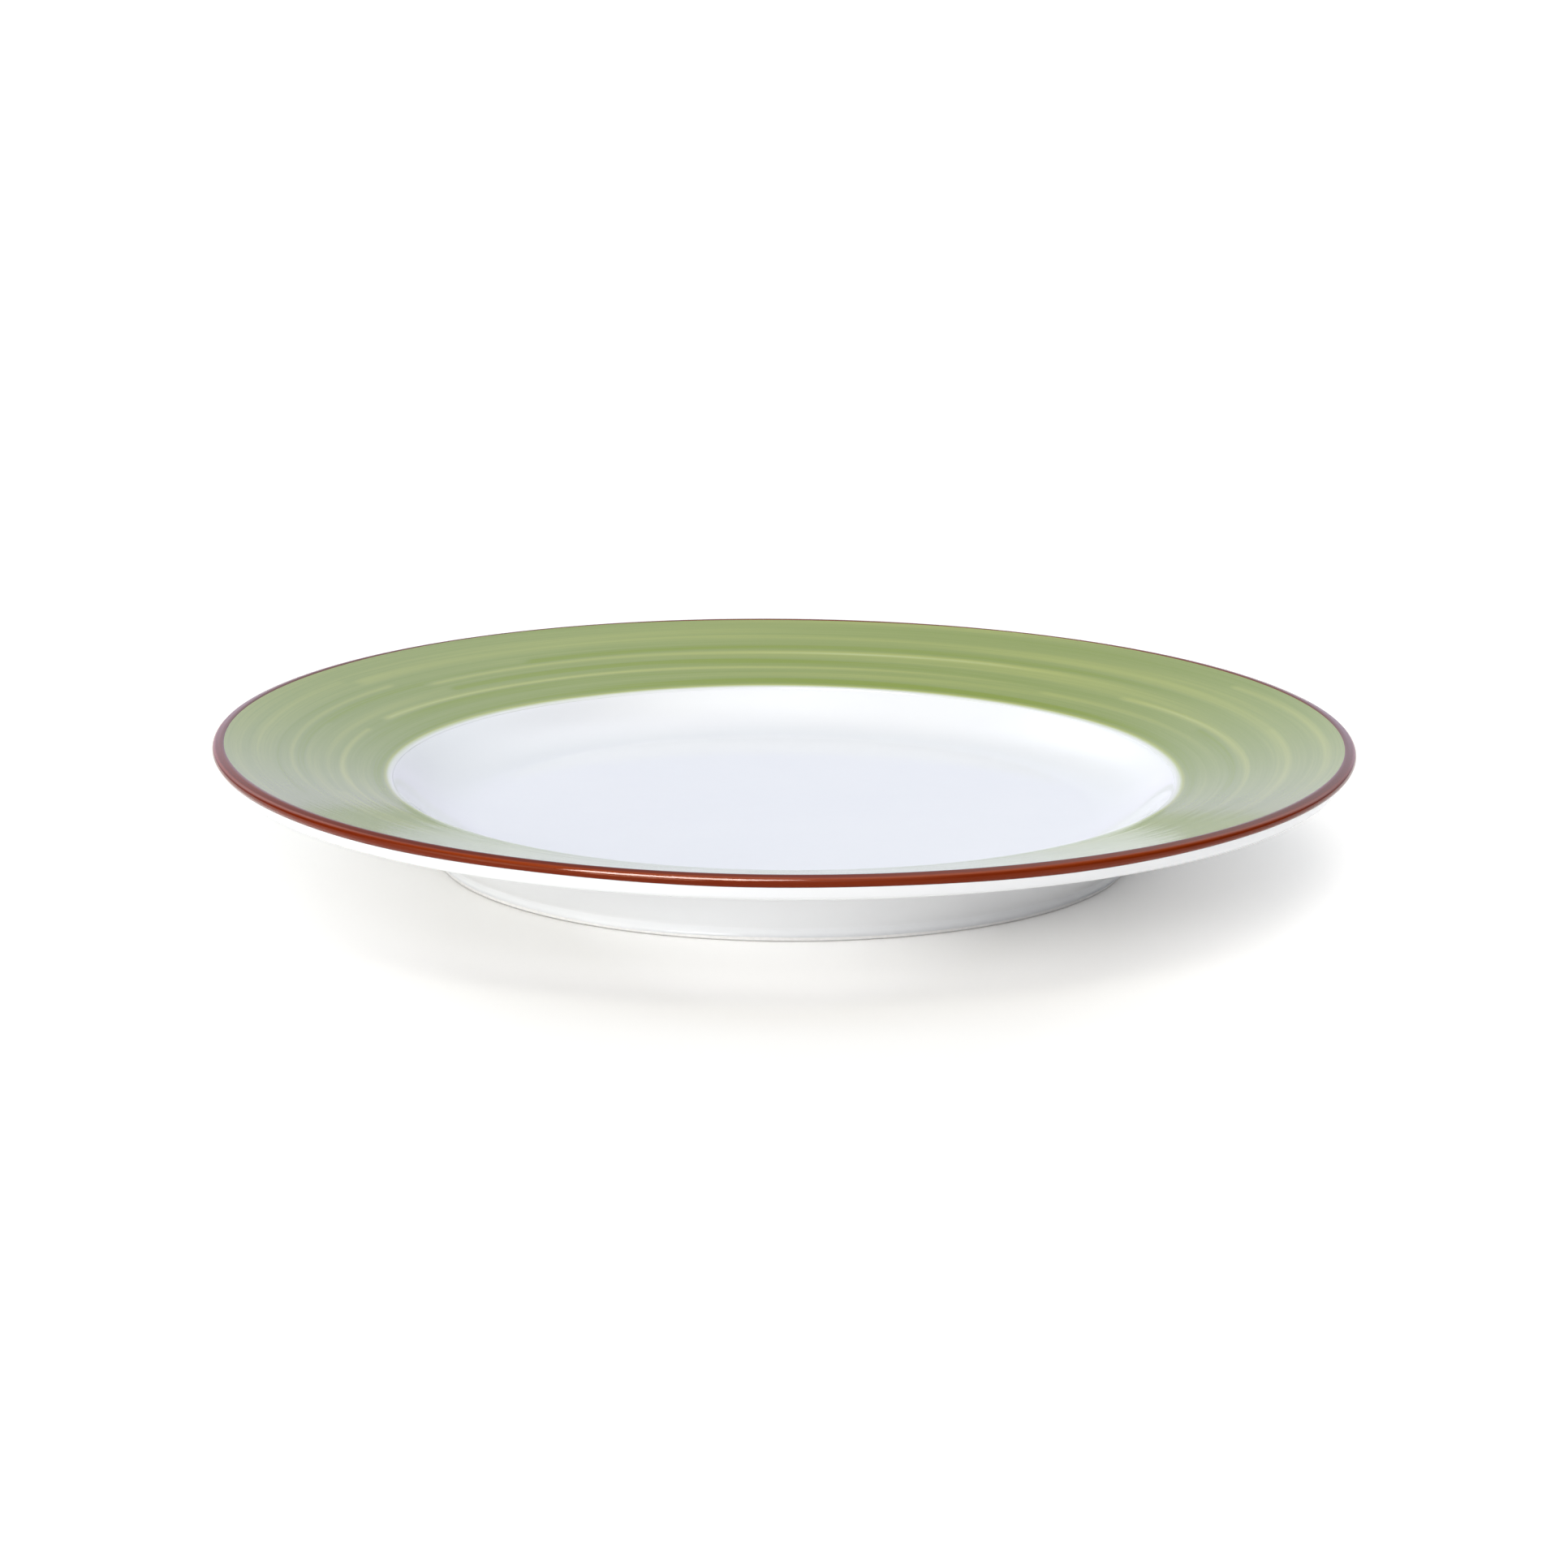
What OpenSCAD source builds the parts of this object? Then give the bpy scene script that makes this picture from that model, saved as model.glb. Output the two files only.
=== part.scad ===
// Rimmed china dinner plate with a green banded rim and a brown edge line.
// One fired body carries a clear glaze in two areas, because the foot ring between them
// is wiped bare, and two enamel colours lie on the glaze.
// Millimetres, +Z up. The origin is the centre of the foot ring's contact plane.

/* [Plate] */
// Diameter over the edge line
plate_d = 270; // [260:1:300]
// Height from the table to the top of the edge line
plate_h = 28.7; // [26:0.1:34]
// Thickness of the fired body in the floor and at the shoulder
body_t = 4.7; // [3.5:0.1:5.5]

/* [Well] */
// Height of the glazed well floor above the table
well_h = 11; // [9:0.1:13]
// Slope of the verge, the wall round the well, in degrees
verge_slope = 37; // [34:1:41]
// Radius of the curve from the floor into the verge
verge_r = 26; // [10:1:30]

/* [Rim] */
// Diameter of the shoulder, where the verge turns into the rim
shoulder_d = 185.4; // [176:0.2:190]
// Height that the rim gains from the shoulder to the crown
rim_rise = 9.2; // [7:0.1:11]
// Radius that softens the shoulder
shoulder_r = 4; // [2:0.5:4.5]
// Radius of the same bend on the underside
under_shoulder_r = 6; // [3:0.5:10]

/* [Edge] */
// Width of the crown, the rolled-over border outside the rising rim
crown_w = 1.9; // [1.8:0.1:2]
// Slope of the crown down towards the edge, in degrees
crown_fall = 15; // [8:1:18]
// Radius that rounds the rim over into the crown
crown_r = 2; // [1:0.5:2]
// Radius of the edge's upper corner
edge_top_r = 0.9; // [0.5:0.1:1.2]
// Radius of the edge's lower corner
edge_low_r = 2.5; // [1:0.1:3]
// Height of the undercut face below the crown
edge_h = 4.8; // [4.5:0.1:6]
// Angle of that face to the table, in degrees
edge_slope = 56; // [50:1:75]

/* [Foot] */
// Outer diameter of the foot ring at the table
foot_d = 164; // [158:1:168]
// Width of the foot ring at the table
foot_w = 4.2; // [3.5:0.1:5]
// Height of the foot ring's outer wall
foot_h = 3.4; // [2.5:0.1:4]
// Outward lean of each wall of the foot ring
foot_draft = 0.7; // [0.2:0.1:1.2]
// Radius of the foot ring's lower corners
foot_r = 0.7; // [0.4:0.1:1]
// Radius in the corner between the foot ring's outer wall and the body
foot_root_r = 1.5; // [0.5:0.1:2.5]
// Radius in the corner between the foot ring and the recessed base
recess_r = 2.5; // [1:0.5:3]

/* [Coats] */
// Thickness of the clear glaze
glaze_t = 0.2; // [0.15:0.01:0.3]
// Thickness of the enamel colours
colour_t = 0.1; // [0.1:0.01:0.2]
// Height above the table at which the glaze stops
glaze_stop = 1; // [0.8:0.1:1.5]
// Distance from the shoulder to the green band
green_gap = 1; // [1:0.1:8]
// Width of the brown line from the edge to the green band
brown_w = 2.6; // [2.6:0.1:3.4]
// Width of the brown line down the undercut face
brown_drop = 1.9; // [1.8:0.1:3]

/* [Hidden] */

// Degrees turned from one point of an arc to the next
arc_step = 5;
turn_fn = 180;

// The profile below is the fired body's, so the coats come off the finished sizes.
edge_rad = plate_d / 2 - glaze_t - colour_t;
top_z = plate_h - glaze_t - colour_t;
floor_z = well_h - glaze_t;
base_z = floor_z - body_t;
shoulder_rad = shoulder_d / 2;
crown_rad = edge_rad - crown_w;
green_rad = shoulder_rad + green_gap;
foot_rad = foot_d / 2;
foot_in_rad = foot_rad - foot_w;

function unit(v) = v / norm(v);
function left_of(v) = [-v[1], v[0]];
function along(slope) = [cos(slope), sin(slope)];
function heading(n) = atan2(n[1], n[0]);
// Where two offset lines with normals a and b meet, for an offset of 1
function mitre(a, b) = (a + b) / (1 + a * b);
// The point at radius r on the straight line through p and q
function at_radius(p, q, r) = [r, p[1] + (q[1] - p[1]) * (r - p[0]) / (q[0] - p[0])];
// The point at height z on the straight line through p and q
function at_height(p, q, z) = [p[0] + (q[0] - p[0]) * (z - p[1]) / (q[1] - p[1]), z];

rim_normal = left_of(unit([crown_rad - shoulder_rad, rim_rise]));
crown_normal = left_of(along(-crown_fall));
edge_normal = left_of(-along(edge_slope));
// The rounded crown's highest point is the body's top, and its sharp corner lies above that.
crown = [crown_rad, top_z + crown_r * (mitre(rim_normal, crown_normal)[1] - 1)];
shoulder = crown - [crown_rad - shoulder_rad, rim_rise];
verge_foot = [shoulder_rad - (shoulder[1] - floor_z) / tan(verge_slope), floor_z];
// The corner stands outside the edge's radius, and its rounding brings it back.
edge_out = edge_rad + edge_top_r * (mitre(crown_normal, edge_normal)[0] - 1);
edge_top = crown + (edge_out - crown_rad) * [1, -tan(crown_fall)];
edge_low = edge_top - along(edge_slope) * edge_h / sin(edge_slope);
// The underside's shoulder lies one body thickness below the upper one.
under_shoulder = shoulder
    - body_t * mitre(left_of(along(verge_slope)), rim_normal);
foot_root = [foot_rad + foot_draft, foot_h];
foot_out = [foot_rad, 0];
foot_in = [foot_in_rad, 0];
recess = [foot_in_rad - foot_draft, base_z];

// Corners of the body's outline, from the axis over the face, round the edge and back
// below. Each is a point and the radius that rounds it.
OUTLINE = [
    [[0, floor_z], 0],
    [verge_foot, verge_r],
    [shoulder, shoulder_r],
    [at_radius(shoulder, crown, green_rad), 0],
    [at_radius(shoulder, crown, edge_rad - brown_w), 0],
    [crown, crown_r],
    [edge_top, edge_top_r],
    [edge_top - along(edge_slope) * brown_drop, 0],
    [edge_low, edge_low_r],
    [under_shoulder, under_shoulder_r],
    [foot_root, foot_root_r],
    [at_height(foot_root, foot_out, glaze_stop), 0],
    [foot_out, foot_r],
    [foot_in, foot_r],
    [at_height(foot_in, recess, glaze_stop), 0],
    [recess, recess_r],
    [[0, base_z], 0]
];
// Corners where a coat starts or ends
AXIS_TOP = 0;
GREEN_START = 3;
BROWN_START = 4;
BROWN_END = 7;
GLAZE_END = 11;
BASE_GLAZE_START = 14;
AXIS_BASE = 16;

// Unit direction of the outline's side that follows corner i
function side(i) = unit(OUTLINE[i + 1][0] - OUTLINE[i][0]);
// Degrees turned from direction a to direction b, between -180 and 180
function turned(a, b) = atan2(cross(a, b), a * b);

// The outline's points at corner i, moved outwards by t
function corner(i, t) =
    let (
        point = OUTLINE[i][0],
        r = OUTLINE[i][1],
        n_in = left_of(side(max(i - 1, AXIS_TOP))),
        n_out = left_of(side(min(i, AXIS_BASE - 1))),
        turn = turned(n_in, n_out),
        bend = turn > 0 ? -1 : 1,
        centre = point - bend * r * mitre(n_in, n_out),
        steps = ceil(abs(turn) / arc_step)
    )
    r == 0
        ? [point + t * mitre(n_in, n_out)]
        : [for (k = [0 : steps])
            let (a = heading(n_in) + turn * k / steps)
            centre + (bend * r + t) * along(a)];

// The outline's points from corner i to corner j, moved outwards by t
function stretch(i, j, t) = [for (k = [i : j]) each corner(k, t)];

function reversed(list) = [for (k = [len(list) - 1 : -1 : 0]) list[k]];

// A ring or disc turned from the skin between two offsets of a stretch of the outline
module skin(i, j, inner_t, outer_t)
    rotate_extrude($fn = turn_fn)
        polygon(concat(stretch(i, j, outer_t), reversed(stretch(i, j, inner_t))));

// The fired body: well, verge, rim, edge and foot ring formed in one piece
module porcelain_body()
    color([0.93, 0.92, 0.89])
        rotate_extrude($fn = turn_fn)
            polygon(stretch(AXIS_TOP, AXIS_BASE, 0));

// Clear glaze over the face, round the edge and down to the foot ring
module glaze_outer()
    color([0.97, 0.97, 0.98])
        skin(AXIS_TOP, GLAZE_END, 0, glaze_t);

// Clear glaze on the recessed base inside the foot ring
module glaze_base()
    color([0.95, 0.95, 0.97])
        skin(BASE_GLAZE_START, AXIS_BASE, 0, glaze_t);

// Green enamel banded on the rim
module green_band()
    color([0.60, 0.68, 0.40])
        skin(GREEN_START, BROWN_START, glaze_t, glaze_t + colour_t);

// Brown enamel line lapped over the edge
module brown_edge_line()
    color([0.50, 0.20, 0.10])
        skin(BROWN_START, BROWN_END, glaze_t, glaze_t + colour_t);

porcelain_body();
glaze_outer();
glaze_base();
green_band();
brown_edge_line();
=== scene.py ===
"""China dinner plate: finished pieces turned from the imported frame's own outline."""

import math

import bpy
import numpy as np
from mathutils import Matrix, Vector


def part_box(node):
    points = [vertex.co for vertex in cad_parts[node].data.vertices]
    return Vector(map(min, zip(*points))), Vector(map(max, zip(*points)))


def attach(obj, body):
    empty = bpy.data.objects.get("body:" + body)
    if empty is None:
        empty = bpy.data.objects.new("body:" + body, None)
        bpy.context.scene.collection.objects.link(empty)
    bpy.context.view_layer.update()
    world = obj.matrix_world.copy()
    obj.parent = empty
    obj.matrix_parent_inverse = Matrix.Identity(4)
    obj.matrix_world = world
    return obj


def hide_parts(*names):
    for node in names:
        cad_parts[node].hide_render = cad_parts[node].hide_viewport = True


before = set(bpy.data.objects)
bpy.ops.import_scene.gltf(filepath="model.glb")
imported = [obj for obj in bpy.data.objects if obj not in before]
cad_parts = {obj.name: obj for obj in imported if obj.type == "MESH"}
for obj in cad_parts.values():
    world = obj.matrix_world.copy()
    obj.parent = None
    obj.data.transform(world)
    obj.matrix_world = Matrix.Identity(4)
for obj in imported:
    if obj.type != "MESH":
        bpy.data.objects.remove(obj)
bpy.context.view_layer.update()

TAU = 2 * math.pi
MM = 0.001
GLAZE_IOR = 1.52


# ---------------------------------------------------------------- the outline

def section_cloud(node):
    """Radius and height of each of a CAD node's vertices."""
    points = np.array([v.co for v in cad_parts[node].data.vertices])
    return np.column_stack([np.hypot(points[:, 0], points[:, 1]), points[:, 2]])


def section_points(node):
    """The corners of a turned CAD node's section, as an ordered chain of (radius, height)."""
    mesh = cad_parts[node].data
    same = 0.004 * MM
    corners, member = [], []
    for p in section_cloud(node):
        near = [k for k, c in enumerate(corners) if abs(c[0] - p[0]) + abs(c[1] - p[1]) < same]
        if not near:
            corners.append(p)
            near = [len(corners) - 1]
        member.append(near[0])
    joined = {k: set() for k in range(len(corners))}
    for edge in mesh.edges:
        a, b = (member[v] for v in edge.vertices)
        if a != b:
            joined[a].add(b)
            joined[b].add(a)
    ends = [k for k, others in joined.items() if len(others) == 1]
    chain = [max(ends, key=lambda k: corners[k][1])]
    while True:
        ahead = [k for k in joined[chain[-1]] if k not in chain]
        if not ahead:
            return np.array([corners[k] for k in chain])
        chain.append(ahead[0])


class Outline:
    """A smooth line through the body's section, from the axis over the face and back below."""

    STEP = 0.02 * MM
    # A side this many times as long as the next one is a straight side beside an arc
    LONG_SIDE = 2.5

    def __init__(self, corners):
        first, last = corners[0], corners[-1]
        corners = np.vstack([[0, first[1]], corners, [0, last[1]]])
        steps = np.diff(corners, axis=0)
        lengths = np.linalg.norm(steps, axis=1)
        headings = steps / lengths[:, None]
        tangents = np.empty_like(corners)
        tangents[0], tangents[-1] = headings[0], headings[-1]
        for k in range(1, len(corners) - 1):
            before, after = lengths[k - 1], lengths[k]
            # An arc that leaves a long straight side starts in that side's own direction.
            if before > self.LONG_SIDE * after:
                tangent = headings[k - 1]
            elif after > self.LONG_SIDE * before:
                tangent = headings[k]
            else:
                tangent = headings[k - 1] + headings[k]
            tangents[k] = tangent / np.linalg.norm(tangent)
        points = []
        # A cubic curve from each corner to the next, with the tangents found above
        for k, length in enumerate(lengths):
            t = np.linspace(0, 1, max(2, int(length / self.STEP)), endpoint=False)[:, None]
            points.append(
                (2 * t**3 - 3 * t**2 + 1) * corners[k]
                + (t**3 - 2 * t**2 + t) * length * tangents[k]
                + (3 * t**2 - 2 * t**3) * corners[k + 1]
                + (t**3 - t**2) * length * tangents[k + 1]
            )
        self.points = np.vstack(points + [corners[-1:]])
        forward = np.gradient(self.points, axis=0)
        forward /= np.linalg.norm(forward, axis=1)[:, None]
        self.normals = np.column_stack([-forward[:, 1], forward[:, 0]])
        gaps = np.linalg.norm(np.diff(self.points, axis=0), axis=1)
        self.s = np.concatenate([[0], np.cumsum(gaps)])
        turn = np.abs(np.gradient(np.unwrap(np.arctan2(forward[:, 1], forward[:, 0]))))
        self.turned = np.cumsum(turn)

    def at(self, s):
        """Radius, height and the outward normal's two parts at each distance s along the line."""
        values = [self.points[:, 0], self.points[:, 1], self.normals[:, 0], self.normals[:, 1]]
        return [np.interp(s, self.s, v) for v in values]

    def nearest(self, point):
        """How far along the line its nearest place to a section point is."""
        return self.s[np.argmin(np.linalg.norm(self.points - point, axis=1))]

    def rows(self, start, end, count, bend=8 * MM):
        """Distances from start to end, closer together where the line turns."""
        inside = (self.s >= start) & (self.s <= end)
        s = self.s[inside]
        weight = s + bend * self.turned[inside]
        rows = np.interp(np.linspace(weight[0], weight[-1], count), weight, s)
        rows[0], rows[-1] = start, end
        return rows


BODY = Outline(section_points("porcelain_body"))

# The columns of a section point
RADIUS, HEIGHT = 0, 1


def reach(node, least):
    """How far along the body's outline a CAD coat has its least radius or its least height."""
    points = section_cloud(node)
    return BODY.nearest(points[np.argmin(points[:, least])])


def upper_corner(slope):
    """How far along the outline the edge's upper corner has turned to face slope degrees up."""
    s = BODY.s[BODY.s > BROWN_START]
    outward = BODY.normals[BODY.s > BROWN_START, 0]
    return s[np.argmax(outward > math.cos(math.radians(slope)))]


GREEN_START = reach("green_band", RADIUS)
BROWN_START = reach("brown_edge_line", RADIUS)
BROWN_END = reach("brown_edge_line", HEIGHT)
GLAZE_END = reach("glaze_outer", HEIGHT)
BASE_START = reach("glaze_base", HEIGHT)
BASE_END = BODY.s[-1]
CORNER = upper_corner(52)
GLAZE_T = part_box("glaze_outer")[1].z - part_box("porcelain_body")[1].z
COLOUR_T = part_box("brown_edge_line")[1].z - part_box("glaze_outer")[1].z
EDGE_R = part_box("brown_edge_line")[1].x


# ---------------------------------------------------------------- smooth random fields

def ripple(phi, orders, seed):
    """A smooth random line round the plate, with a spread of about 1."""
    rng = np.random.default_rng(seed)
    total = np.zeros_like(phi)
    for k in range(orders[0], orders[1] + 1):
        total += rng.normal() * np.cos(k * phi + rng.uniform(0, TAU))
    return total * math.sqrt(2 / (orders[1] - orders[0] + 1))


def streaks(s, phi, width, orders, seed):
    """Random streaks that run round the plate, about width wide, with a spread of about 1."""
    rng = np.random.default_rng(seed)
    low = s.min() - 3 * width
    knots = np.arange(low, s.max() + 4 * width, width / 2)
    kernel = np.exp(-np.linspace(-2, 2, 9) ** 2)
    kernel /= np.linalg.norm(kernel)
    total = np.zeros_like(s)
    for k in range(orders + 1):
        for wave in (np.cos(k * phi), np.sin(k * phi)):
            values = np.convolve(rng.normal(size=len(knots)), kernel, "same")
            total += np.interp(s, knots, values) * wave
    return total / math.sqrt(orders + 1)


# ---------------------------------------------------------------- turned meshes

# The share of the radius that the firing left flat
FLAT = 0.6


def warp(points):
    """The slight unevenness of a fired plate: its rim rises and falls a little."""
    x, y, z = points.T
    radius, phi = np.hypot(x, y), np.arctan2(y, x)
    share = np.clip((radius / EDGE_R - FLAT) / (1 - FLAT), 0, 1) ** 2
    oval = 0.10 * MM * np.cos(2 * phi + 0.7)
    three_waves = 0.05 * MM * np.cos(3 * phi - 1.1)
    return np.column_stack([x, y, z + (oval + three_waves) * share])


def make_mesh(name, points, faces, values):
    """A smooth-shaded object, with one attribute for each entry of values."""
    mesh = bpy.data.meshes.new(name)
    mesh.from_pydata(warp(points), [], faces)
    for key, per_point in values.items():
        layer = mesh.attributes.new(key, "FLOAT", "POINT")
        layer.data.foreach_set("value", np.asarray(per_point, np.float32))
    mesh.validate()
    mesh.shade_smooth()
    obj = bpy.data.objects.new(name, mesh)
    bpy.context.scene.collection.objects.link(obj)
    return obj


def grid_points(s, phi, offset):
    """Points at distance s along the outline and angle phi, raised by offset."""
    r, z, normal_r, normal_z = BODY.at(s)
    radius, height = r + normal_r * offset, z + normal_z * offset
    return np.stack([radius * np.cos(phi), radius * np.sin(phi), height], axis=-1)


def turned(name, rings, values=None):
    """A closed solid through a loop of rings of points. A ring on the axis becomes a fan."""
    count = len(rings[0])
    points, faces, starts, picked = [], [], [], []
    for k, ring in enumerate(rings):
        on_axis = np.hypot(ring[:, 0], ring[:, 1]).max() < 1e-7
        starts.append((len(points), on_axis))
        points.extend(ring[:1] if on_axis else ring)
        picked.extend([k * count] if on_axis else range(k * count, (k + 1) * count))
    closed = not (starts[0][1] and starts[-1][1])
    pairs = list(zip(starts, starts[1:] + starts[:1]))
    for (a, a_axis), (b, b_axis) in pairs if closed else pairs[:-1]:
        if a_axis and b_axis:
            continue
        for j in range(count):
            n = (j + 1) % count
            if a_axis:
                faces.append((a, b + j, b + n))
            elif b_axis:
                faces.append((a + j, b, a + n))
            else:
                faces.append((a + j, b + j, b + n, a + n))
    per_point = {key: np.concatenate(per_ring)[picked] for key, per_ring in (values or {}).items()}
    return make_mesh(name, np.array(points), faces, per_point)


def angles(count):
    """count equal steps round the plate."""
    return np.arange(count) * TAU / count


def coat(name, s_rows, thickness, inner_rows, inner=0.0, values=None):
    """A skin on the body. Its outer face follows thickness, and its inner face lies at inner."""
    phi_grid = np.broadcast_to(angles(s_rows.shape[1]), s_rows.shape)
    outer = grid_points(s_rows, phi_grid, thickness)
    pick = np.unique(np.linspace(0, len(s_rows) - 1, inner_rows).astype(int))[::-1]
    under = grid_points(s_rows[pick], phi_grid[pick], np.full_like(s_rows[pick], inner))
    per_ring = {key: list(grid) + list(grid[pick]) for key, grid in (values or {}).items()}
    return turned(name, list(outer) + list(under), per_ring)


def edge_taper(s_rows, start_width, end_width):
    """1 over a coat's middle, easing to 0 at the edges that thin out; a width of 0 doesn't."""
    taper = np.ones_like(s_rows)
    if start_width:
        taper *= np.sqrt(np.clip((s_rows - s_rows[:1]) / start_width, 0, 1))
    if end_width:
        taper *= np.sqrt(np.clip((s_rows[-1:] - s_rows) / end_width, 0, 1))
    return taper


def spread(rows, starts, ends):
    """Rows of distances along the outline, moved so that each angle has its own start and end."""
    share = (rows - rows[0]) / (rows[-1] - rows[0])
    return starts[None, :] + share[:, None] * (ends - starts)[None, :]


# ---------------------------------------------------------------- the pieces

def fired_body():
    """The whole outline turned, with no coat on it."""
    phi = angles(448)
    rows = BODY.rows(0, BASE_END, 150)
    grid = np.broadcast_to(rows[:, None], (len(rows), len(phi)))
    rings = grid_points(grid, np.broadcast_to(phi, grid.shape), np.zeros_like(grid))
    return turned("fired_body", list(rings))


# How far the glaze's edge wanders, and the width over which it thins out there
GLAZE_WANDER = 0.12 * MM
GLAZE_TAPER = 0.5 * MM


def clear_glaze_face():
    """Glaze over the face, round the edge and down the outside to the foot ring."""
    phi = angles(448)
    end = GLAZE_END + GLAZE_WANDER * ripple(phi, (2, 14), 5)
    rows = spread(BODY.rows(0, GLAZE_END, 168), np.zeros_like(phi), end)
    thickness = GLAZE_T * edge_taper(rows, 0, GLAZE_TAPER)
    return coat("clear_glaze_face", rows, thickness, 40)


def clear_glaze_base():
    """Glaze over the recess inside the foot ring."""
    phi = angles(384)
    start = BASE_START + GLAZE_WANDER * ripple(phi, (2, 14), 6)
    rows = spread(BODY.rows(BASE_START, BASE_END, 70), start, np.full_like(phi, BASE_END))
    thickness = GLAZE_T * edge_taper(rows, GLAZE_TAPER, 0)
    return coat("clear_glaze_base", rows, thickness, 24)


# The enamels are sunk into the glaze, and they thin out over this width at their edges.
ENAMEL_INNER = 0.6 * GLAZE_T
ENAMEL_TAPER = 0.4 * MM
# The green fades in over this width at its inner edge, and runs on under the brown line.
FEATHER = 3.6 * MM
GREEN_UNDER_BROWN = 0.8 * MM


def green_rim_band():
    """The brushed green, as thick in each place as its pigment."""
    phi = angles(512)
    first, last = GREEN_START - FEATHER / 3, BROWN_START + GREEN_UNDER_BROWN
    start = first + 0.10 * MM * ripple(phi, (1, 9), 11)
    rows = spread(np.linspace(first, last, 156), start, np.full_like(phi, last))
    pigment = green_pigment(rows, np.broadcast_to(phi, rows.shape))
    build_up = edge_taper(rows, ENAMEL_TAPER, ENAMEL_TAPER) * np.clip(pigment, 0.2, 1.4)
    thickness = GLAZE_T + 0.6 * COLOUR_T * build_up
    return coat("green_rim_band", rows, thickness, 8, ENAMEL_INNER, {"pigment": pigment})


# Brush strokes in the green: azimuth and radius at each end, half width in mm, and how much
# thinner the colour lies. A minus sign is a thicker line. Strokes start blunt and fade out.
STROKES = [
    (158, 105.4, 50, 104.0, 1.0, 1.0),
    (142, 113.5, 20, 112.8, 1.2, 0.75),
    (150, 122.4, 45, 121.6, 1.8, 0.45),
    (145, 117.3, 215, 115.6, 0.9, 0.55),
    (165, 113.2, 200, 111.8, 0.8, 0.25),
    (162, 105.0, 220, 103.2, 0.9, 0.6),
    (150, 124.8, 205, 124.0, 1.6, 0.2),
    (40, 107.9, -48, 111.0, 1.1, 0.5),
    (30, 127.0, -20, 128.2, 1.2, 0.5),
    (52, 102.3, -30, 102.4, 1.0, 0.3),
    (12, 119.0, -45, 117.4, 1.3, 0.2),
    (-50, 121.5, -140, 119.4, 1.4, 0.5),
    (-60, 106.8, -165, 108.6, 1.1, 0.6),
    (-75, 126.4, -150, 125.2, 1.0, 0.4),
    (-95, 101.5, -175, 100.2, 1.0, 0.4),
    (-30, 98.9, -110, 99.6, 0.9, 0.3),
    (-110, 113.0, -170, 112.2, 1.2, 0.35),
    (205, 119.8, 120, 118.8, 1.6, -0.4),
    (140, 109.0, 50, 108.2, 1.5, -0.7),
    (125, 116.3, 25, 116.0, 1.8, -0.55),
    (20, 106.2, -40, 105.5, 1.5, -0.35),
    (200, 109.0, 150, 109.8, 1.4, -0.35),
    (-20, 113.4, -120, 114.6, 1.5, -0.35),
    (-70, 104.0, -170, 104.4, 1.5, -0.4),
]


# How much of the colour a full stroke takes away, and the shares of its length over which it
# starts and fades out
STROKE_STRENGTH = 0.55
BLUNT_START, LONG_END = 0.02, 0.5


def hump(away, width):
    """1 in the middle, easing to 0 on both sides."""
    return np.exp(-((away / width) ** 2))


def green_pigment(rows, phi):
    """How thickly the green lies: about 1, and less in the light lines between brush strokes."""
    radius = BODY.at(rows)[0] / MM + 0.25 * ripple(phi, (2, 9), 23)
    broad = streaks(rows, phi, 2.2 * MM, 3, 21)
    narrow = streaks(rows, phi, 0.7 * MM, 5, 22)
    pigment = 1 + 0.07 * broad + 0.04 * narrow
    degrees = np.degrees(phi)
    for start, r_start, end, r_end, width, thinner in STROKES:
        along = (degrees - start) * np.sign(end - start) % 360 / abs(end - start)
        centre = r_start + (r_end - r_start) * along
        fade = np.clip(along / BLUNT_START, 0, 1) * np.clip((1 - along) / LONG_END, 0, 1)
        pigment -= STROKE_STRENGTH * thinner * fade * hump(radius - centre, 0.85 * width)
    # The colour gathers where it starts to thin out towards its inner edge.
    across = rows - rows[:1]
    pigment += 0.3 * hump(across - FEATHER, 2.5 * MM)
    fade_in = np.clip(across / FEATHER, 0, 1)
    return pigment * fade_in**2 * (3 - 2 * fade_in)


def brown_edge_line_painted():
    """The brown line, lapped over the edge and thin on its upper corner."""
    phi = angles(512)
    start = BROWN_START + 0.12 * MM * ripple(phi, (1, 10), 31)
    end = BROWN_END + 0.15 * MM * ripple(phi, (1, 12), 32)
    rows = spread(BODY.rows(BROWN_START, BROWN_END, 44, bend=1.5 * MM), start, end)
    pigment = 1 + 0.12 * streaks(rows, np.broadcast_to(phi, rows.shape), 0.6 * MM, 6, 33)
    # The colour runs off the sharp upper corner.
    pigment -= 0.45 * hump(rows - CORNER, 0.33 * MM)
    build_up = edge_taper(rows, ENAMEL_TAPER, ENAMEL_TAPER) * np.clip(pigment, 0, 1.1)
    thickness = GLAZE_T + COLOUR_T * (0.65 + 0.3 * build_up)
    # The first and last rows lie on the glaze, which closes the coat.
    closing = edge_taper(rows, ENAMEL_TAPER, ENAMEL_TAPER) == 0
    thickness = np.where(closing, GLAZE_T, thickness)
    return coat("brown_edge_line_painted", rows, thickness, 12, ENAMEL_INNER, {"pigment": pigment})


# ---------------------------------------------------------------- materials

def shader(name, **settings):
    """A material with a Principled shader, and its node tree."""
    material = bpy.data.materials.new(name)
    material.use_nodes = True
    tree = material.node_tree
    principled = tree.nodes["Principled BSDF"]
    for key, value in settings.items():
        principled.inputs[key.replace("_", " ")].default_value = value
    return material, tree, principled


def add(tree, kind, inputs=None, **settings):
    """A new node. Inputs are values, or other nodes' output sockets."""
    node = tree.nodes.new(kind)
    for key, value in settings.items():
        setattr(node, key, value)
    for key, value in (inputs or {}).items():
        if isinstance(value, bpy.types.NodeSocket):
            tree.links.new(value, node.inputs[key])
        else:
            node.inputs[key].default_value = value
    return node


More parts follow.
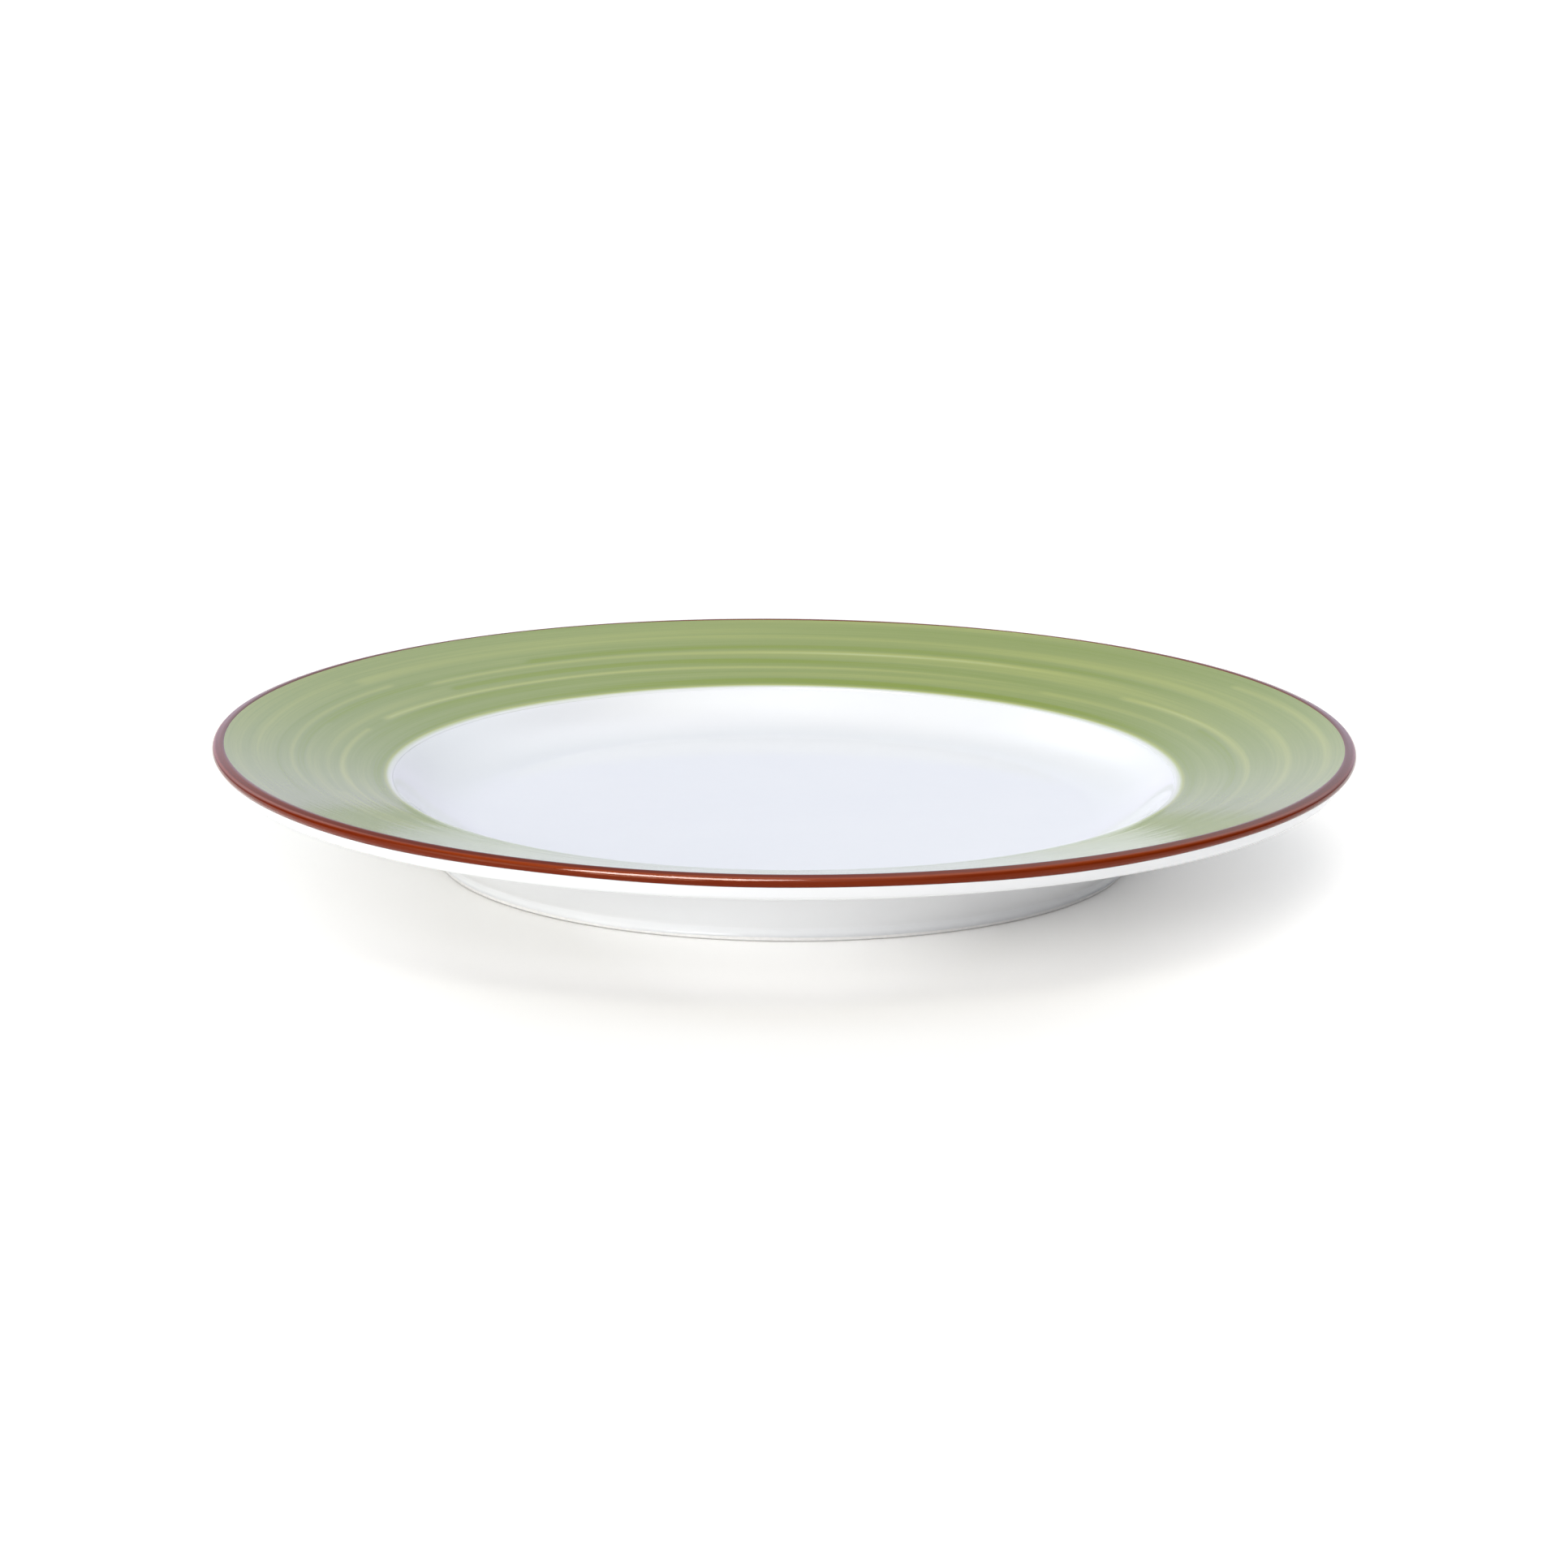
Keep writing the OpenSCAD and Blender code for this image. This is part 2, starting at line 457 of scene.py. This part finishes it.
def noise(tree, vector, scale, detail, roughness=0.55):
    inputs = {"Vector": vector, "Scale": scale, "Detail": detail, "Roughness": roughness}
    return add(tree, "ShaderNodeTexNoise", inputs).outputs["Fac"]


def math_node(tree, operation, a, b=0.0):
    return add(tree, "ShaderNodeMath", {0: a, 1: b}, operation=operation).outputs[0]


def ramp(tree, factor, stops):
    """A colour that follows factor through stops of (place, colour)."""
    node = add(tree, "ShaderNodeValToRGB", {"Fac": factor})
    elements = node.color_ramp.elements
    while len(elements) < len(stops):
        elements.new(0.5)
    for element, (place, colour) in zip(elements, stops):
        element.position = place
        element.color = (*colour, 1)
    return node.outputs["Color"]


def map_range(tree, value, source, target):
    """Value moved from the source range to the target range, and clamped to it."""
    inputs = {"Value": value, "From Min": source[0], "From Max": source[1]}
    inputs |= {"To Min": target[0], "To Max": target[1]}
    return add(tree, "ShaderNodeMapRange", inputs).outputs["Result"]


def scaled(tree, vector, factor):
    """The vector or colour times factor."""
    inputs = {0: vector, "Scale": factor}
    return add(tree, "ShaderNodeVectorMath", inputs, operation="SCALE").outputs["Vector"]


def length(tree, vector):
    return add(tree, "ShaderNodeVectorMath", {0: vector}, operation="LENGTH").outputs["Value"]


def bump(tree, height, distance, normal=None):
    """A normal that follows height, at most distance metres high, on top of another normal."""
    inputs = {"Height": height, "Distance": distance, "Strength": 1.0}
    if normal is not None:
        inputs["Normal"] = normal
    return add(tree, "ShaderNodeBump", inputs).outputs["Normal"]


def object_coords(tree):
    return add(tree, "ShaderNodeTexCoord").outputs["Object"]


def round_coords(tree, along, across):
    """Coordinates whose noise runs round the plate: slow along it and quick across it."""
    xyz = add(tree, "ShaderNodeSeparateXYZ", {0: object_coords(tree)}).outputs
    flat = add(tree, "ShaderNodeCombineXYZ", {0: xyz[0], 1: xyz[1]}).outputs[0]
    unit = add(tree, "ShaderNodeVectorMath", {0: flat}, operation="NORMALIZE").outputs["Vector"]
    ring = add(tree, "ShaderNodeSeparateXYZ", {0: scaled(tree, unit, along)}).outputs
    outwards = math_node(tree, "MULTIPLY", length(tree, flat), across)
    return add(tree, "ShaderNodeCombineXYZ", {0: ring[0], 1: ring[1], 2: outwards}).outputs[0]


def glaze_surface(tree, principled):
    """The slow waviness and fine orange peel of a fired glaze, and its slightly uneven gloss."""
    where = object_coords(tree)
    wave = bump(tree, noise(tree, where, 45, 1.0), 0.012 * MM)
    peel = bump(tree, noise(tree, where, 420, 2.0), 0.006 * MM, normal=wave)
    tree.links.new(peel, principled.inputs["Normal"])
    gloss = map_range(tree, noise(tree, where, 60, 4.0), (0.3, 0.7), (0.055, 0.10))
    tree.links.new(gloss, principled.inputs["Roughness"])
    return peel


def white_glaze(name, low, high):
    """A clear glaze over the white body, a little lighter in some places than in others."""
    material, tree, principled = shader(name, IOR=GLAZE_IOR)
    tone = noise(tree, object_coords(tree), 30, 4.0)
    tree.links.new(ramp(tree, tone, [(0.3, low), (0.7, high)]), principled.inputs["Base Color"])
    glaze_surface(tree, principled)
    return material


def biscuit():
    """Fine-grained unglazed porcelain, darkened by a painted contact shadow where it stands on the
    table.
    """
    material, tree, principled = shader("unglazed_foot")
    where = object_coords(tree)
    grain = noise(tree, where, 900, 6.0, 0.7)
    pale = ramp(tree, grain, [(0.35, (0.78, 0.77, 0.76)), (0.6, (0.84, 0.83, 0.82))])
    height = add(tree, "ShaderNodeSeparateXYZ", {0: where}).outputs[2]
    # Painted shade: the colour darkens in the lowest half millimetre, standing in for the contact
    # shadow under the foot ring.
    contact_shade = map_range(tree, height, (0.1 * MM, 0.45 * MM), (0.45, 1.0))
    tree.links.new(scaled(tree, pale, contact_shade), principled.inputs["Base Color"])
    tree.links.new(map_range(tree, grain, (0.3, 0.7), (0.65, 0.85)), principled.inputs["Roughness"])
    tree.links.new(bump(tree, grain, 0.04 * MM), principled.inputs["Normal"])
    return material


# Where a pigment of 1 lies on an enamel's colour stops
FULL_COAT = 0.6


def enamel(name, stops, bristle_strength, along, across, ridge, sheen=None, **settings):
    """A brushed enamel: its colour, and its sheen's if given, follow how thickly the pigment lies."""
    material, tree, principled = shader(name, IOR=GLAZE_IOR, **settings)
    pigment = add(tree, "ShaderNodeAttribute", attribute_name="pigment").outputs["Fac"]
    bristles = noise(tree, round_coords(tree, along, across), 1.0, 3.0, 0.6)
    centred = math_node(tree, "SUBTRACT", bristles, 0.5)
    fine = math_node(tree, "MULTIPLY", centred, bristle_strength)
    depth = math_node(tree, "MULTIPLY", math_node(tree, "ADD", pigment, fine), FULL_COAT)
    tree.links.new(ramp(tree, depth, stops), principled.inputs["Base Color"])
    if sheen:
        tree.links.new(ramp(tree, depth, sheen), principled.inputs["Specular Tint"])
    peel = glaze_surface(tree, principled)
    tree.links.new(bump(tree, bristles, ridge, normal=peel), principled.inputs["Normal"])
    return material


# ---------------------------------------------------------------- build

white = white_glaze("white_china_glaze", (0.815, 0.827, 0.85), (0.83, 0.84, 0.857))
green = enamel(
    "green_enamel",
    [
        (0.0, (0.82, 0.83, 0.84)),
        (0.3, (0.47, 0.53, 0.24)),
        (0.4, (0.385, 0.43, 0.115)),
        (0.6, (0.275, 0.337, 0.089)),
        (0.68, (0.25, 0.316, 0.075)),
        (0.78, (0.222, 0.295, 0.022)),
    ],
    bristle_strength=0.35,
    along=2.0,
    across=1500,
    ridge=0.02 * MM,
)
brown = enamel(
    "brown_enamel",
    [
        (0.3, (0.25, 0.034, 0.004)),
        (0.5, (0.16, 0.017, 0.002)),
        (0.62, (0.14, 0.013, 0.001)),
        (0.9, (0.10, 0.009, 0.001)),
    ],
    bristle_strength=0.4,
    along=6.0,
    across=2500,
    ridge=0.01 * MM,
    sheen=[(0.38, (1.0, 0.92, 0.86)), (0.52, (1.0, 0.62, 0.42))],
    Specular_IOR_Level=0.22,
)

PIECES = [
    (fired_body, "porcelain_body", "fired_body", biscuit()),
    (clear_glaze_face, "glaze_outer", "clear_glaze", white),
    (clear_glaze_base, "glaze_base", "clear_glaze", white),
    (green_rim_band, "green_band", "green_enamel", green),
    (brown_edge_line_painted, "brown_edge_line", "brown_enamel", brown),
]
for build, node, slot, material in PIECES:
    piece = build()
    piece.data.materials.append(material)
    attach(piece, "root")
    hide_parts(node)


# ---------------------------------------------------------------- stage

def floor():
    """A bright table far wider than the view."""
    mesh = bpy.data.meshes.new("floor")
    half = 6.0
    corners = [(-half, -half, 0), (half, -half, 0), (half, half, 0), (-half, half, 0)]
    mesh.from_pydata(corners, [], [(0, 1, 2, 3)])
    obj = bpy.data.objects.new("floor", mesh)
    bpy.context.scene.collection.objects.link(obj)
    material, tree, principled = shader("pale_floor", Roughness=0.9, Specular_IOR_Level=0.0)
    # A little warm, because the glows that light the shadows are a little blue
    principled.inputs["Base Color"].default_value = (0.915, 0.9, 0.872, 1)
    principled.inputs["Emission Color"].default_value = (1, 1, 1, 1)
    # The floor glows by itself in a pattern of painted light and shade: a painted pool of light at the
    # foot ring, a painted shadow round it, and most glow away from the plate, soonest on its two
    # sides. Each place is a share of the outermost distance.
    outermost = 0.4
    sideways = 2.5
    stretch = {0: object_coords(tree), 1: (sideways / outermost, 1 / outermost, 0.0)}
    stretched = add(tree, "ShaderNodeVectorMath", stretch, operation="MULTIPLY").outputs["Vector"]
    glow = [(0.22, 0.24), (0.36, 0.10), (0.50, 0.10), (1.0, 0.34)]
    strength = ramp(tree, length(tree, stretched), [(place, (level,) * 3) for place, level in glow])
    tree.links.new(strength, principled.inputs["Emission Strength"])
    mesh.materials.append(material)


def direction(azimuth, elevation):
    """A unit vector. Azimuth 0 is +X and 90 is +Y, away from the camera."""
    a, e = math.radians(azimuth), math.radians(elevation)
    return Vector((math.cos(a) * math.cos(e), math.sin(a) * math.cos(e), math.sin(e)))


def softbox(azimuth, elevation, distance, wide, tall, radiance):
    """A bright rectangle that faces the plate. Returns its object."""
    data = bpy.data.lights.new("softbox", "AREA")
    data.shape = "RECTANGLE"
    data.size, data.size_y = wide, tall
    data.energy = math.pi * wide * tall * radiance
    obj = bpy.data.objects.new("softbox", data)
    away = direction(azimuth, elevation)
    obj.location = away * distance
    obj.rotation_mode = "QUATERNION"
    obj.rotation_quaternion = away.to_track_quat("Z", "Y")
    bpy.context.scene.collection.objects.link(obj)
    return obj


# Soft glows of the white studio, ring by ring: elevation and width in degrees, tint, and how
# strong the glow is at each azimuth
GLOWS = [
    (4, 9, (1.03, 1.0, 1.25), {70: 0.75, 90: 0.55, 110: 0.8}),
    (20, 9, (0.92, 1.0, 1.12), {50: 1.0, 70: 0.33, 90: 0.47, 110: 0.4, 130: 1.2}),
    (37, 11, (0.92, 1.0, 1.06), {45: 1.35, 75: 0.9, 135: 2.0}),
    (56, 12, (1.0, 1.0, 1.1), {60: 1.3, 120: 0.3}),
    (74, 10, (1.0, 1.0, 0.93), {0: 2.2, 90: 1.1, 180: 0.5}),
    (90, 8, (1.0, 1.0, 1.0), {0: 1.3}),
    (10, 14, (1.0, 1.0, 0.93), {210: 4.6}),
    (36, 17, (1.0, 1.0, 1.05), {270: 2.35}),
]


def studio():
    """The world: soft glows in a dark room, each one brightest at its own direction."""
    made = bpy.data.worlds.new("studio")
    made.use_nodes = True
    tree = made.node_tree
    where = add(tree, "ShaderNodeTexCoord").outputs["Generated"]
    way = add(tree, "ShaderNodeVectorMath", {0: where}, operation="NORMALIZE").outputs["Vector"]
    total = None
    glows = [
        (azimuth, elevation, width, [strength * part for part in tint])
        for elevation, width, tint, ring in GLOWS
        for azimuth, strength in ring.items()
    ]
    for azimuth, elevation, width, colour in glows:
        towards = tuple(direction(azimuth, elevation))
        facing = add(tree, "ShaderNodeVectorMath", {0: way, 1: towards}, operation="DOT_PRODUCT")
        off = math_node(tree, "SUBTRACT", facing.outputs["Value"], 1.0)
        fall = math_node(tree, "MULTIPLY", off, 1 / math.radians(width) ** 2)
        glow = math_node(tree, "EXPONENT", fall)
        light = scaled(tree, colour, glow)
        if total is not None:
            light = add(tree, "ShaderNodeVectorMath", {0: total, 1: light}, operation="ADD").outputs[0]
        total = light
    tree.links.new(total, tree.nodes["Background"].inputs["Color"])
    bpy.context.scene.world = made


# Metres, degrees, and the lens in millimetres. The camera aims a little above the origin.
CAMERA_DISTANCE = 1.5
CAMERA_ELEVATION = 14.17
CAMERA_ROLL = 0.43
AIM_ABOVE = 0.6265
LENS = 144.8


def camera():
    """The camera stands in front, looks down at the plate and leans a little to one side."""
    data = bpy.data.cameras.new("camera")
    data.sensor_width = 36
    data.lens = LENS
    data.clip_start, data.clip_end = 0.05, 50
    obj = bpy.data.objects.new("camera", data)
    obj.location = direction(270, CAMERA_ELEVATION) * CAMERA_DISTANCE
    tilt = math.radians(90 - CAMERA_ELEVATION + AIM_ABOVE)
    turn = Matrix.Rotation(tilt, 4, "X") @ Matrix.Rotation(math.radians(CAMERA_ROLL), 4, "Z")
    obj.rotation_euler = turn.to_euler()
    bpy.context.scene.collection.objects.link(obj)
    bpy.context.scene.camera = obj


floor()
studio()
softbox(azimuth=244, elevation=14.5, distance=1.6, wide=0.62, tall=0.5, radiance=7.1)
# A card that only shows as the highlight on the glossy edge
card = softbox(azimuth=243, elevation=52, distance=1.6, wide=0.9, tall=0.9, radiance=38)
card.visible_diffuse = False
camera()
bpy.context.scene.view_settings.view_transform = "Standard"
